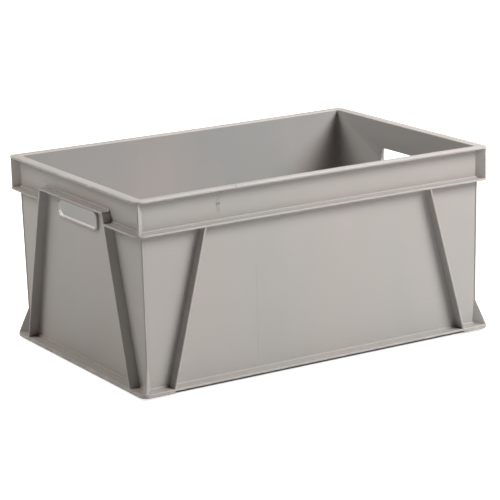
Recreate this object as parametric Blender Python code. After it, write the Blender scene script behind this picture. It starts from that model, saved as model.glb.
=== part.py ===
"""Stacking transport crate on the 600 x 400 mm footprint, moulded in grey polypropylene.

The crate is modelled member by member: floor and stacking foot, four walls joined by rounded corner
posts, the turned-out lip, the rim flange below it, diagonal wall ribs, corner webs and fins, the base
flange with its skirts, and a framed hand hole under a raised grip shelf in each end.

Frame: +X along the long side, +Y along the short side, +Z up, origin on the floor under the middle.
"""

import math

import bmesh
import bpy
from mathutils import Matrix, Vector

MM = 0.001

# Overall size and material thickness
LENGTH = 600 * MM
WIDTH = 400 * MM
HEIGHT = 285 * MM
WALL = 3.0 * MM
GAP = 0.3 * MM          # clearance kept between neighbouring members

# Plan: every flange reaches the footprint's edge, the walls stand back from it
FLANGE_REACH = 16 * MM
OUTER_RADIUS = 10 * MM
POST_RADIUS = 10 * MM
ARC_STEPS = 6

# Levels, measured from the floor
FOOT_DROP = 4.3 * MM    # how far the stacking foot hangs below the skirts
BASE_FLANGE_BOTTOM = 7.6 * MM
BASE_FLANGE_TOP = 10.6 * MM
RIM_FLANGE_BOTTOM = 233.9 * MM
RIM_FLANGE_TOP = 236.9 * MM
GRIP_SHELF_BOTTOM = 249.5 * MM
GRIP_SHELF_TOP = 252.5 * MM
LIP_BOTTOM = 281.8 * MM

# Diagonal ribs
RIB_THICKNESS = 2.8 * MM
RIB_LEAN = 0.264        # sideways run per unit of height
LONG_RIB_TOP = 193.2 * MM    # distance from the middle of the long side, at the rim flange
END_RIB_TOP = 100.7 * MM     # distance from the middle of the end, at the rim flange

# Corner webs and fins
WEB_THICKNESS = 3.0 * MM
FIN_PROUD = 1.9 * MM
GUSSET_HEIGHT = 37 * MM

# Hand holes
HAND_HOLE_WIDTH = 120 * MM
HAND_HOLE_BOTTOM = 218.6 * MM
HAND_HOLE_TOP = 242.4 * MM
HAND_HOLE_RADIUS = 8 * MM
HAND_FRAME_PROUD = 6 * MM
HAND_FRAME_WALL = 2.6 * MM
CUTTER_REACH = 30 * MM       # how far a hand-hole cutter runs to each side of the wall's face
CUT_MARGIN = 5 * MM          # how far a rough block reaches past the cutter that trims it

# Stacking foot and skirts
FOOT_CLEARANCE = 2.5 * MM    # between the foot and the inside of the rim of the crate below
FOOT_WIDTH = 8 * MM
SKIRT_THICKNESS = 3 * MM

# Moulding mark on the front
MARK_X = -161.5 * MM
MARK_Z = 261.3 * MM
MARK_RADIUS = 4.6 * MM
MARK_PROUD = 0.6 * MM
MARK_SIDES = 24

WALL_X = LENGTH / 2 - FLANGE_REACH
WALL_Y = WIDTH / 2 - FLANGE_REACH
POST_X = WALL_X - POST_RADIUS
POST_Y = WALL_Y - POST_RADIUS
CORNERS = {
    "front_left": (-1, -1),
    "front_right": (1, -1),
    "back_left": (-1, 1),
    "back_right": (1, 1),
}
SIDES = {"left": -1, "right": 1}
FACES = {"front": -1, "back": 1}


def clear_scene():
    """Remove what the file starts with."""
    for existing in list(bpy.data.objects):
        bpy.data.objects.remove(existing, do_unlink=True)


def new_collection(name, hidden=False):
    """Add a collection to the scene."""
    collection = bpy.data.collections.new(name)
    bpy.context.scene.collection.children.link(collection)
    collection.hide_render = hidden
    return collection


def polypropylene():
    """Light warm grey polypropylene with a satin moulded surface."""
    material = bpy.data.materials.new("grey_polypropylene")
    material.use_nodes = True
    shader = material.node_tree.nodes["Principled BSDF"]
    shader.inputs["Base Color"].default_value = (0.36, 0.35, 0.335, 1)
    shader.inputs["Roughness"].default_value = 0.45
    shader.inputs["Metallic"].default_value = 0.0
    return material


def add_object(name, mesh):
    """Put a mesh into the crate as a named member."""
    member = bpy.data.objects.new(name, mesh)
    mesh.materials.append(PLASTIC)
    CRATE.objects.link(member)
    return member


def box_mesh(name, low, high):
    """A box between two corners."""
    low, high = Vector(low), Vector(high)
    mesh = bpy.data.meshes.new(name)
    work = bmesh.new()
    place = Matrix.Translation((low + high) / 2) @ Matrix.Diagonal((*(high - low), 1))
    bmesh.ops.create_cube(work, size=1, matrix=place)
    work.to_mesh(mesh)
    work.free()
    return mesh


def add_box(name, low, high):
    """A box-shaped member; the corners may be given in any order along an axis."""
    lows = [min(a, b) for a, b in zip(low, high)]
    highs = [max(a, b) for a, b in zip(low, high)]
    return add_object(name, box_mesh(name, lows, highs))


def outline_mesh(name, outline, thickness, place):
    """A flat outline in its own XY plane, thickened evenly and then placed."""
    curve = bpy.data.curves.new(name, "CURVE")
    curve.dimensions = "2D"
    curve.fill_mode = "BOTH"
    curve.extrude = thickness / 2
    spline = curve.splines.new("POLY")
    spline.points.add(len(outline) - 1)
    for point, (x, y) in zip(spline.points, outline):
        point.co = (x, y, 0, 1)
    spline.use_cyclic_u = True
    holder = bpy.data.objects.new(name + "_outline", curve)
    GUIDES.objects.link(holder)
    bpy.context.view_layer.update()
    graph = bpy.context.evaluated_depsgraph_get()
    mesh = bpy.data.meshes.new_from_object(holder.evaluated_get(graph))
    bpy.data.objects.remove(holder)
    bpy.data.curves.remove(curve)
    work = bmesh.new()
    work.from_mesh(mesh)
    bmesh.ops.remove_doubles(work, verts=work.verts, dist=0.00001)
    bmesh.ops.transform(work, matrix=place, verts=work.verts)
    bmesh.ops.recalc_face_normals(work, faces=work.faces)
    work.to_mesh(mesh)
    work.free()
    mesh.materials.clear()
    mesh.name = name
    return mesh


def add_plate(name, outline, bottom, top):
    """A horizontal plate or column with the given plan outline."""
    place = Matrix.Translation((0, 0, (bottom + top) / 2))
    return add_object(name, outline_mesh(name, outline, top - bottom, place))


def upright_place(across, origin):
    """Stand an outline up: its X runs along a horizontal direction, its Y runs up."""
    across = Vector(across).normalized()
    up = Vector((0, 0, 1))
    return Matrix.Translation(origin) @ Matrix((across, up, across.cross(up))).transposed().to_4x4()


def add_upright(name, outline, thickness, across, origin=(0, 0, 0)):
    """A vertical plate whose outline is given as (distance along a direction, height)."""
    return add_object(name, outline_mesh(name, outline, thickness, upright_place(across, origin)))


def arc(centre, radius, start, end):
    """Points of an arc, angles in degrees."""
    angles = [math.radians(start + (end - start) * i / ARC_STEPS) for i in range(ARC_STEPS + 1)]
    return [(centre[0] + radius * math.cos(a), centre[1] + radius * math.sin(a)) for a in angles]


def mirrored(outline, sign_x, sign_y):
    """The outline of a front-right member, turned to another corner or side."""
    return [(x * sign_x, y * sign_y) for x, y in outline]


def long_bar(inner):
    """Plan of a bar along a long side with rounded outer corners, reaching in to the given Y."""
    half = LENGTH / 2
    edge = WIDTH / 2
    right = arc((half - OUTER_RADIUS, edge - OUTER_RADIUS), OUTER_RADIUS, 0, 90)
    left = [(-x, y) for x, y in reversed(right)]
    return right + left + [(-half, inner), (half, inner)]


def make_floor():
    """The floor panel and the four bars of the stacking foot under it."""
    inside_x = WALL_X - WALL - GAP
    inside_y = WALL_Y - WALL - GAP
    round_corner = POST_RADIUS - WALL - GAP
    quarter = arc((inside_x - round_corner, inside_y - round_corner), round_corner, 0, 90)
    outline = quarter + [(-x, y) for x, y in reversed(quarter)]
    outline += [(-x, -y) for x, y in quarter] + [(x, -y) for x, y in reversed(quarter)]
    add_plate("floor_panel", outline, BASE_FLANGE_BOTTOM, BASE_FLANGE_TOP)

    foot_x = WALL_X - WALL - FOOT_CLEARANCE
    foot_y = WALL_Y - WALL - FOOT_CLEARANCE
    top = BASE_FLANGE_BOTTOM - GAP
    for face, sign in FACES.items():
        corner = arc((foot_x - OUTER_RADIUS, foot_y - OUTER_RADIUS), OUTER_RADIUS, 0, 90)
        outline = corner + [(-x, y) for x, y in reversed(corner)]
        outline += [(-foot_x, foot_y - OUTER_RADIUS), (-foot_x + FOOT_WIDTH, foot_y - OUTER_RADIUS)]
        outline += [(-foot_x + FOOT_WIDTH, foot_y - FOOT_WIDTH), (foot_x - FOOT_WIDTH, foot_y - FOOT_WIDTH)]
        outline += [(foot_x - FOOT_WIDTH, foot_y - OUTER_RADIUS)]
        add_plate(f"stacking_foot_{face}", mirrored(outline, 1, sign), 0, top)
    for side, sign in SIDES.items():
        end = foot_y - OUTER_RADIUS - GAP
        add_box(
            f"stacking_foot_{side}",
            (sign * (foot_x - FOOT_WIDTH), -end, 0),
            (sign * foot_x, end, top),
        )


def make_long_walls():
    """The front and back walls, between the corner posts."""
    for face, sign in FACES.items():
        half = POST_X - GAP
        add_box(
            f"{face}_wall",
            (-half, sign * (WALL_Y - WALL), BASE_FLANGE_BOTTOM),
            (half, sign * WALL_Y, LIP_BOTTOM - GAP),
        )


def hand_hole_cutter(sign, grow, name):
    """A rounded bar through an end wall, the shape of the hand hole or of its frame's outside."""
    low = (sign * WALL_X - CUTTER_REACH, -HAND_HOLE_WIDTH / 2 - grow, HAND_HOLE_BOTTOM - grow)
    high = (sign * WALL_X + CUTTER_REACH, HAND_HOLE_WIDTH / 2 + grow, HAND_HOLE_TOP + grow)
    mesh = box_mesh(name, low, high)
    work = bmesh.new()
    work.from_mesh(mesh)
    along = [e for e in work.edges if abs(e.verts[0].co.x - e.verts[1].co.x) > CUTTER_REACH]
    radius = HAND_HOLE_RADIUS + grow
    bmesh.ops.bevel(
        work, geom=along, offset=radius, segments=ARC_STEPS, profile=0.5, affect="EDGES"
    )
    work.to_mesh(mesh)
    work.free()
    cutter = bpy.data.objects.new(name, mesh)
    cutter.hide_render = True
    cutter.display_type = "WIRE"
    GUIDES.objects.link(cutter)
    return cutter


def cut(member, cutter, operation="DIFFERENCE"):
    """Cut a member with a cutter, or keep only what both share."""
    boolean = member.modifiers.new(cutter.name, "BOOLEAN")
    boolean.object = cutter
    boolean.operation = operation
    boolean.solver = "EXACT"


def make_end_walls():
    """The end walls with their hand holes, and the frame that stands proud round each hole."""
    for side, sign in SIDES.items():
        hole = hand_hole_cutter(sign, 0, f"hand_hole_{side}")
        half = POST_Y - GAP
        wall = add_box(
            f"{side}_wall",
            (sign * (WALL_X - WALL), -half, BASE_FLANGE_BOTTOM),
            (sign * WALL_X, half, LIP_BOTTOM - GAP),
        )
        cut(wall, hole)
        outside = hand_hole_cutter(sign, HAND_FRAME_WALL, f"hand_frame_outside_{side}")
        margin = HAND_FRAME_WALL + CUT_MARGIN
        frame = add_box(
            f"hand_hole_frame_{side}",
            (sign * (WALL_X + GAP), -HAND_HOLE_WIDTH / 2 - margin, HAND_HOLE_BOTTOM - margin),
            (sign * (WALL_X + HAND_FRAME_PROUD), HAND_HOLE_WIDTH / 2 + margin, HAND_HOLE_TOP + margin),
        )
        cut(frame, outside, "INTERSECT")
        cut(frame, hole)


def make_corner_posts():
    """The quarter-round columns that join the walls."""
    centre = (POST_X, POST_Y)
    outline = arc(centre, POST_RADIUS, 0, 90) + arc(centre, POST_RADIUS - WALL, 90, 0)
    for corner, (sign_x, sign_y) in CORNERS.items():
        plan = mirrored(outline, sign_x, sign_y)
        add_plate(f"corner_post_{corner}", plan, BASE_FLANGE_BOTTOM, LIP_BOTTOM - GAP)


def make_lip():
    """The flat lip over the walls, turned out to the footprint's edge."""
    inner_y = WALL_Y - WALL
    for face, sign in FACES.items():
        add_plate(f"lip_{face}", mirrored(long_bar(inner_y), 1, sign), LIP_BOTTOM, HEIGHT)
    for side, sign in SIDES.items():
        end = inner_y - GAP
        add_box(
            f"lip_{side}",
            (sign * (WALL_X - WALL), -end, LIP_BOTTOM),
            (sign * LENGTH / 2, end, HEIGHT),
        )


def rib_offset(top_offset, height):
    """Distance of a leaning rib from the middle of its side, at a height."""
    return top_offset + (RIM_FLANGE_BOTTOM - height) * RIB_LEAN


def make_rim_flanges():
    """The flange round the walls under the lip, stepped up into a grip shelf at each hand hole."""
    clear = WALL_Y + GAP
    for face, sign in FACES.items():
        plan = mirrored(long_bar(clear), 1, sign)
        add_plate(f"rim_flange_{face}", plan, RIM_FLANGE_BOTTOM, RIM_FLANGE_TOP)
    beside_rib = rib_offset(END_RIB_TOP, RIM_FLANGE_BOTTOM) + RIB_THICKNESS / 2 + GAP * 2
    shelf_half = rib_offset(END_RIB_TOP, GRIP_SHELF_BOTTOM) + RIB_THICKNESS / 2
    for side, sign in SIDES.items():
        for face, along in FACES.items():
            add_box(
                f"rim_flange_{side}_{face}",
                (sign * (WALL_X + GAP), along * beside_rib, RIM_FLANGE_BOTTOM),
                (sign * LENGTH / 2, along * (clear - GAP), RIM_FLANGE_TOP),
            )
        add_box(
            f"grip_shelf_{side}",
            (sign * (WALL_X + GAP), -shelf_half, GRIP_SHELF_BOTTOM),
            (sign * LENGTH / 2, shelf_half, GRIP_SHELF_TOP),
        )


def rib_outline(top_offset, bottom, top):
    """A leaning rib seen square on to its wall."""
    half = RIB_THICKNESS / 2
    low = rib_offset(top_offset, bottom)
    high = rib_offset(top_offset, top)
    return [(low - half, bottom), (low + half, bottom), (high + half, top), (high - half, top)]


def make_ribs():
    """Two diagonal ribs on every side, leaning out towards the corners at the base."""
    depth = FLANGE_REACH - GAP
    bottom = BASE_FLANGE_TOP + GAP
    middle_y = WALL_Y + GAP + depth / 2
    middle_x = WALL_X + GAP + depth / 2
    long_rib = rib_outline(LONG_RIB_TOP, bottom, RIM_FLANGE_BOTTOM - GAP)
    end_rib = rib_outline(END_RIB_TOP, bottom, GRIP_SHELF_BOTTOM - GAP)
    for corner, (sign_x, sign_y) in CORNERS.items():
        outline = mirrored(long_rib, sign_x, 1)
        add_upright(f"long_side_rib_{corner}", outline, depth, (1, 0, 0), (0, sign_y * middle_y, 0))
        outline = mirrored(end_rib, sign_y, 1)
        add_upright(f"end_rib_{corner}", outline, depth, (0, 1, 0), (sign_x * middle_x, 0, 0))


def make_corner_webs():
    """The diagonal web between lip and rim flange, and the fin below it that widens into a base gusset."""
    post_face = POST_RADIUS
    outer_face = (FLANGE_REACH + POST_RADIUS - OUTER_RADIUS) * math.sqrt(2) + OUTER_RADIUS
    start = post_face + GAP
    reach = outer_face - GAP
    web_bottom = RIM_FLANGE_TOP + GAP
    web_top = LIP_BOTTOM - GAP
    web = [(start, web_bottom), (reach, web_bottom), (reach, web_top), (start, web_top)]
    foot = BASE_FLANGE_TOP + GAP
    narrow = post_face + FIN_PROUD
    fin_top = RIM_FLANGE_BOTTOM - GAP
    fin = [(start, foot), (reach, foot), (narrow, foot + GUSSET_HEIGHT)]
    fin += [(narrow, fin_top), (start, fin_top)]
    for corner, (sign_x, sign_y) in CORNERS.items():
        origin = (sign_x * POST_X, sign_y * POST_Y, 0)
        add_upright(f"rim_corner_web_{corner}", web, WEB_THICKNESS, (sign_x, sign_y, 0), origin)
        add_upright(f"corner_fin_{corner}", fin, WEB_THICKNESS, (sign_x, sign_y, 0), origin)


def make_base_flanges():
    """The flange round the foot of the walls."""
    clear = WALL_Y + GAP
    for face, sign in FACES.items():
        plan = mirrored(long_bar(clear), 1, sign)
        add_plate(f"base_flange_{face}", plan, BASE_FLANGE_BOTTOM, BASE_FLANGE_TOP)
    for side, sign in SIDES.items():
        add_box(
            f"base_flange_{side}",
            (sign * (WALL_X + GAP), -clear + GAP, BASE_FLANGE_BOTTOM),
            (sign * LENGTH / 2, clear - GAP, BASE_FLANGE_TOP),
        )


def make_skirts():
    """The skirt under the base flange: along both ends, and round each corner to the rib's foot."""
    top = BASE_FLANGE_BOTTOM - GAP
    centre = (LENGTH / 2 - OUTER_RADIUS, WIDTH / 2 - OUTER_RADIUS)
    inner = OUTER_RADIUS - SKIRT_THICKNESS
    run = rib_offset(LONG_RIB_TOP, BASE_FLANGE_TOP)
    outline = arc(centre, OUTER_RADIUS, 0, 90) + [(run, WIDTH / 2), (run, WIDTH / 2 - SKIRT_THICKNESS)]
    outline += arc(centre, inner, 90, 0)
    for corner, (sign_x, sign_y) in CORNERS.items():
        add_plate(f"base_skirt_{corner}", mirrored(outline, sign_x, sign_y), FOOT_DROP, top)
    end = centre[1] - GAP
    for side, sign in SIDES.items():
        add_box(
            f"base_skirt_{side}",
            (sign * (LENGTH / 2 - SKIRT_THICKNESS), -end, FOOT_DROP),
            (sign * LENGTH / 2, end, top),
        )


def make_moulding_mark():
    """A plain round moulding mark on the front, near its left end."""
    mesh = bpy.data.meshes.new("moulding_mark")
    work = bmesh.new()
    middle = (MARK_X, -WALL_Y - GAP - MARK_PROUD / 2, MARK_Z)
    place = Matrix.Translation(middle) @ Matrix.Rotation(math.radians(90), 4, "X")
    bmesh.ops.create_cone(
        work,
        cap_ends=True,
        segments=MARK_SIDES,
        radius1=MARK_RADIUS,
        radius2=MARK_RADIUS,
        depth=MARK_PROUD,
        matrix=place,
    )
    work.to_mesh(mesh)
    work.free()
    add_object("moulding_mark", mesh)


def build_crate():
    """Build every member of the crate."""
    make_floor()
    make_long_walls()
    make_end_walls()
    make_corner_posts()
    make_lip()
    make_rim_flanges()
    make_ribs()
    make_corner_webs()
    make_base_flanges()
    make_skirts()
    make_moulding_mark()


clear_scene()
CRATE = new_collection("stacking_crate")
GUIDES = new_collection("guides", hidden=True)
PLASTIC = polypropylene()
build_crate()
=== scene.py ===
"""Stacking transport crate in grey moulded polypropylene, with its studio stage."""

import math

import bmesh
import bpy
from bpy.props import FloatProperty, FloatVectorProperty, IntProperty, PointerProperty
from mathutils import Matrix, Vector


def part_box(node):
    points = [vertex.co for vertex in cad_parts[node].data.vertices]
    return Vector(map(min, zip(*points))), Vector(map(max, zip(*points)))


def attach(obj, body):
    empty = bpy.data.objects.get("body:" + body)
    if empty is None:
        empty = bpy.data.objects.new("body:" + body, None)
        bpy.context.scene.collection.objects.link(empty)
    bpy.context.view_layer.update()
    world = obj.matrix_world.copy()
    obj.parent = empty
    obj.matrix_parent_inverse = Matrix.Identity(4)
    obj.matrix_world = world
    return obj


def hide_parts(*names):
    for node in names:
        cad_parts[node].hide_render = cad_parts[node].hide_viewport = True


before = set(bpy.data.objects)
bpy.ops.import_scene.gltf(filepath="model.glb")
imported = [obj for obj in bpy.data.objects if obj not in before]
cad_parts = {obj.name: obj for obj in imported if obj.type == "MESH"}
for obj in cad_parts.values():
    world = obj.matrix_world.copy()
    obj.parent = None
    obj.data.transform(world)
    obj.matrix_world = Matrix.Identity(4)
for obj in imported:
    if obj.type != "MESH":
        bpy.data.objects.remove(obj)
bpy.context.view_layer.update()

bl_info = {
    "name": "Stacking Crate",
    "version": (1, 0, 0),
    "blender": (4, 5, 0),
    "location": "View3D > Sidebar > Crate",
    "description": "Builds a moulded stacking crate piece by piece, and its stage",
    "category": "Add Mesh",
}

MM = 0.001
BITE = 1 * MM  # how deep a piece sinks into what it grows from
CLEAR = 1 * MM  # how far a cutter stands past what it cuts
NEAR = 0.02 * MM  # how near to a plane counts as on it
MERGE = 0.005 * MM  # vertices nearer than this are one
SMOOTH = math.radians(40)  # edges gentler than this are shaded smooth

SIDES = {"left": -1, "right": 1}
FACES = {"front": -1, "back": 1}
CORNERS = {f"{face}_{side}": (x, y) for face, y in FACES.items() for side, x in SIDES.items()}
FIRST_CORNER = "back_right"  # what repeats is modelled here, and copied to the other corners

# Sizes of the moulding, taken from its frame
HALF_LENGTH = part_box("lip_front")[1].x
HALF_WIDTH = -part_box("lip_front")[0].y
LIP_BOTTOM, LIP_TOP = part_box("lip_front")[0].z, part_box("lip_front")[1].z
WALL_X = -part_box("left_wall")[0].x
WALL_Y = -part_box("front_wall")[0].y
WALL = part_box("front_wall")[1].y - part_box("front_wall")[0].y
REACH = HALF_LENGTH - WALL_X
RIM_BOTTOM, RIM_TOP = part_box("rim_flange_front")[0].z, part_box("rim_flange_front")[1].z
LEDGE_LOW, LEDGE_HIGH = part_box("grip_shelf_left")
BASE_BOTTOM, BASE_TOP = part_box("base_flange_front")[0].z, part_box("base_flange_front")[1].z
SKIRT_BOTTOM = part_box("base_skirt_left")[0].z
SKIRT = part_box("base_skirt_left")[1].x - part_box("base_skirt_left")[0].x
SKIRT_RUN = -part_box("base_skirt_front_left")[1].x
FOOT_INSIDE = -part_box("stacking_foot_left")[1].x
FRAME_LOW, FRAME_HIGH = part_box("hand_hole_frame_left")
MARK_LOW, MARK_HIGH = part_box("moulding_mark")
POST_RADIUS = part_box("corner_post_front_right")[1].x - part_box("corner_post_front_right")[0].x

# Finer shapes
HOLE_STEPS = 7  # flats in a hand hole's rounded corner
HOLE_EDGE = 0.7 * MM  # rounding of a hand hole's edges
HOLE_CUT = 30 * MM  # how far a hand hole's cutter stands out on each side of the wall
HOLE_AROUND = 4 * MM  # how far beside a hand hole its edges are looked for
NICK_X, NICK_WIDTH, NICK_DEPTH, NICK_RUN = -138 * MM, 2 * MM, 0.9 * MM, 4 * MM
RIB_INSET = 0.2 * MM  # ribs stop this far inside the flanges' edge
RIB_SHORT = 0.1 * MM  # and each end keeps this far inside its box in the frame
RIB_EDGE = 0.9 * MM  # rounding of a rib's outer edge
WEB_HALF = 1.5 * MM  # half the thickness of corner webs and fins
WEB_INSET = 0.3 * MM  # they stop this far inside the flanges' rounded corner
CORNER_BITE = 1.5 * MM  # how deep they sink into the walls' rounded corner
WEB_EDGE, FIN_EDGE = 1.0 * MM, 0.8 * MM  # rounding of their outer edges
BOW_CUTS, BOW_LEVELS = 24, 6  # cuts along a long side, and up a rib, that let it bow
BOWED_FROM = WALL_Y - 2 * WALL - 20 * MM  # the bow takes all that lies further out than this
BEAD_ROUNDING = 0.7  # rounding of a bead, as a share of its width
FACES_IN, FACES_UP = 0.1, 0.05  # how far a normal leans before a face counts as facing that way

# Ring mark: a ring within the mark's box, a dot, and short lines above and below them
RING_SHARE, RING_HALF, DOT_RADIUS = 0.62, 0.9 * MM, 1.1 * MM
LINE_SIZE = (0.8 * MM, 1.0 * MM, 2.0 * MM)
LINE_BESIDE = 1.8 * MM
LINES_ABOVE = (-11 * MM, -7 * MM, 7 * MM, 11 * MM)

# Wear and flow on the plastic
WELD_X, WELD_LOW, WELD_HIGH = -102 * MM, 22 * MM, 172 * MM
WELD_SHARE = 0.2  # how strongly the weld line darkens the plastic
SCRATCH_SHARE = 0.35  # how strong hairline scratches are beside the rubbed edges
GLOSS_SPREAD, WORN_ROUGHNESS = 0.05, 0.2  # added roughness, from flow and where worn

# Stage, in metres
FLOOR_SIDE = 30
SHADE = 1.5 * MM  # the dark under the crate ends this far outside the walls
SOFTBOX_SIDE = 1.4
LIGHTS_AIM = (0, 0, 0.14)
ROOM_SEEN = 1.05  # how brightly the camera sees the room
WHITE, WARM_WHITE, COOL_WHITE = (1, 1, 1), (1, 0.965, 0.93), (0.97, 0.99, 1)

# Where the camera stands, in metres, and how it is turned, in radians
CAMERA_PLACE = (-1.72308, -2.84192, 0.98054)
CAMERA_YAW, CAMERA_PITCH, CAMERA_ROLL = 0.54507, 0.25007, -0.02692

# Sockets of a colour Mix node
MIX_SHARE, MIX_FIRST, MIX_SECOND, MIX_RESULT = 0, 6, 7, 2


def hex_colour(text):
    """An sRGB hex value as the linear colour that a socket takes."""
    channels = [int(text[i : i + 2], 16) / 255 for i in (1, 3, 5)]
    return tuple(c / 12.92 if c <= 0.04045 else ((c + 0.055) / 1.055) ** 2.4 for c in channels)


# ---------------- settings


def length(name, description, default, **limits):
    """A size among the settings."""
    return FloatProperty(
        name=name, description=description, default=default, unit="LENGTH", **limits
    )


def colour(name, description, default):
    """A colour among the settings, from its sRGB hex value."""
    return FloatVectorProperty(
        name=name, description=description, default=hex_colour(default), subtype="COLOR", size=3
    )


class CrateSizes(bpy.types.PropertyGroup):
    """Sizes of the moulding's finer shapes."""

    corner_steps: IntProperty(
        name="Corner Steps",
        description="Flats that make up a rounded corner in plan",
        default=9, min=2,
    )
    rounding_steps: IntProperty(
        name="Rounding Steps", description="Flats that make up a rounded edge", default=3, min=1
    )
    outer_radius: length(
        "Outer Radius", "Corner radius of lip and flanges in plan", 12 * MM, min=2 * MM
    )
    wall_radius: length(
        "Wall Radius", "Corner radius of the walls' outer face in plan", 3.5 * MM, min=1 * MM
    )
    draft: length("Draft", "How far the walls lean out between the base and the lip", 3 * MM)
    bow: length("Bow", "How far the long walls draw in at the middle of the rim", 4 * MM)
    lip_rounding: length("Lip Rounding", "Rounding of the lip's top edges", 1.4 * MM)
    flange_rounding: length("Flange Rounding", "Rounding of the flanges' top edges", 1.4 * MM)
    underside_rounding: length("Underside Rounding", "Rounding of edges below", 0.5 * MM)
    floor_fillet: length("Floor Fillet", "Hollow between floor and walls inside", 5 * MM)
    bead_height: length(
        "Bead Height", "Height of the bead that runs along the wall on each flange", 2.6 * MM
    )
    bead_width: length("Bead Width", "How far that bead stands out from the wall", 2.0 * MM)
    rib_thickness: length("Rib Thickness", "Thickness of a rib at its outer edge", 3.2 * MM)
    rib_draft: FloatProperty(
        name="Rib Draft",
        description="How much thicker a rib is at the wall, as a factor",
        default=1.3,
    )
    near_rib_shift: length(
        "Near Rib Shift", "How much nearer the middle the rib at the front left stands", 3.5 * MM
    )
    fin_depth: length(
        "Fin Depth", "How far a corner fin stands out from the walls' corner", 1.9 * MM
    )
    gusset_height: length(
        "Gusset Height", "Height of the gusset at the foot of a corner fin", 37 * MM
    )
    gusset_flare: FloatProperty(
        name="Gusset Flare",
        description="How much thicker a gusset is at its foot, as a factor",
        default=2.4,
    )
    hole_length: length("Hand Hole Length", "Clear length of a hand hole", 120 * MM)
    hole_rim: length("Hand Hole Rim", "Thickness of the frame round a hand hole", 2.6 * MM)
    hole_radius: length("Hand Hole Radius", "Corner radius of a hand hole", 8 * MM)


class CrateFinish(bpy.types.PropertyGroup):
    """Colours and gloss of the plastic."""

    plastic: colour("Plastic", "Main grey", "#A7A19C")
    plastic_warm: colour("Warm Flow", "Grey of the warmer flow patches", "#AAA29E")
    plastic_cool: colour("Cool Flow", "Grey of the cooler flow patches", "#A29F9C")
    # Painted shade: the inside grey is a cooler, darker copy of the main grey, standing in for the
    # shade within the walls
    plastic_inside_shaded: colour(
        "Inside", "Grey of the walls inside, less yellowed by daylight", "#9E9E9C"
    )
    # Painted highlight: besides real scuffing, this pale colour lines the outer edges of lip and
    # flanges
    scuff_and_edge_highlight: colour("Scuff", "Where handling has rubbed the plastic paler", "#C4C0BC")
    grime: colour("Grime", "Faint dirt in specks and in the weld line", "#7D7A76")
    # Painted shade: this dark colour on the stacking foot stands in for the shadow under the base
    # flange
    foot_painted_shade: colour("Foot Dirt", "Dark dirt on the stacking foot", "#4B4944")
    roughness: FloatProperty(
        name="Roughness",
        description="Roughness of the satin skin",
        default=0.42, min=0, max=1, subtype="FACTOR",
    )


class StageSettings(bpy.types.PropertyGroup):
    """Floor, lights and camera."""

    floor: colour("Floor", "Colour of the floor", "#D8DBDC")
    high_power: FloatProperty(
        name="High Light", description="Softbox above the front", default=114.0, min=0, unit="POWER"
    )
    back_power: FloatProperty(
        name="Back Light",
        description="Softbox above the left of the back",
        default=48.0, min=0, unit="POWER",
    )
    top_power: FloatProperty(
        name="Top Light",
        description="Softbox above the right of the back",
        default=51.0, min=0, unit="POWER",
    )
    ambient: FloatProperty(
        name="Ambient", description="Light from the room all round", default=0.01, min=0
    )
    floor_glow: FloatProperty(
        name="Floor Glow",
        description="How much the floor glows, to the camera only",
        default=0.85, min=0,
    )
    lens: FloatProperty(
        name="Lens",
        description="Focal length on a 36 mm sensor, in millimetres",
        default=163.54, min=10,
    )


# ---------------- modelling helpers


def take_up(piece):
    """Make a piece the only one selected, and the active one."""
    bpy.ops.object.select_all(action="DESELECT")
    piece.select_set(True)
    bpy.context.view_layer.objects.active = piece


def start_piece(name):
    """Add an empty piece at the origin, and start editing it."""
    if bpy.context.mode != "OBJECT":
        bpy.ops.object.mode_set(mode="OBJECT")
    bpy.ops.object.select_all(action="DESELECT")
    bpy.ops.mesh.primitive_plane_add(size=1, location=(0, 0, 0))
    piece = bpy.context.active_object
    piece.name = name
    piece.data.name = name
    bpy.ops.object.mode_set(mode="EDIT")
    bpy.ops.mesh.select_all(action="SELECT")
    bpy.ops.mesh.delete(type="VERT")
    return piece


def pick(kind, test):
    """While editing, select the vertices or edges that pass a test, and nothing else."""
    bpy.ops.mesh.select_mode(type=kind)
    bpy.ops.mesh.select_all(action="DESELECT")
    mesh = bpy.context.active_object.data
    work = bmesh.from_edit_mesh(mesh)
    chosen = [part for part in (work.verts if kind == "VERT" else work.edges) if test(part)]
    if not chosen:
        raise RuntimeError(f"{mesh.name}: nothing there to select")
    for part in chosen:
        part.select_set(True)
    work.select_flush_mode()
    bmesh.update_edit_mesh(mesh)


def middle(edge):
    """The middle of an edge."""
    return (edge.verts[0].co + edge.verts[1].co) / 2


def rise(edge):
    """How much higher one end of an edge is than the other."""
    return abs(edge.verts[0].co.z - edge.verts[1].co.z)


def end_piece(piece):
    """Stop editing, with faces outwards and rounded edges shaded smooth."""
    if bpy.context.mode != "EDIT_MESH":
        bpy.ops.object.mode_set(mode="EDIT")
    bpy.ops.mesh.select_all(action="SELECT")
    bpy.ops.mesh.remove_doubles(threshold=MERGE)
    bpy.ops.mesh.normals_make_consistent(inside=False)
    if bmesh.from_edit_mesh(piece.data).calc_volume(signed=True) < 0:
        bpy.ops.mesh.flip_normals()
    bpy.ops.object.mode_set(mode="OBJECT")
    take_up(piece)
    bpy.ops.object.shade_smooth_by_angle(angle=SMOOTH)
    return piece


def add_bar(low, high):
    """While editing, add a box between two corners, and leave it selected."""
    low, high = Vector(low), Vector(high)
    bpy.ops.mesh.select_all(action="DESELECT")
    bpy.ops.mesh.primitive_cube_add(size=1, location=(low + high) / 2)
    bpy.ops.transform.resize(value=high - low, center_override=(low + high) / 2)


def apply_boolean(piece, cutter, operation):
    """Join a piece with another or cut it, and clear the other away."""
    take_up(piece)
    modifier = piece.modifiers.new(cutter.name, "BOOLEAN")
    modifier.object = cutter
    modifier.operation = operation
    modifier.solver = "EXACT"
    bpy.ops.object.modifier_apply(modifier=modifier.name)
    bpy.data.objects.remove(cutter, do_unlink=True)


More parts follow.
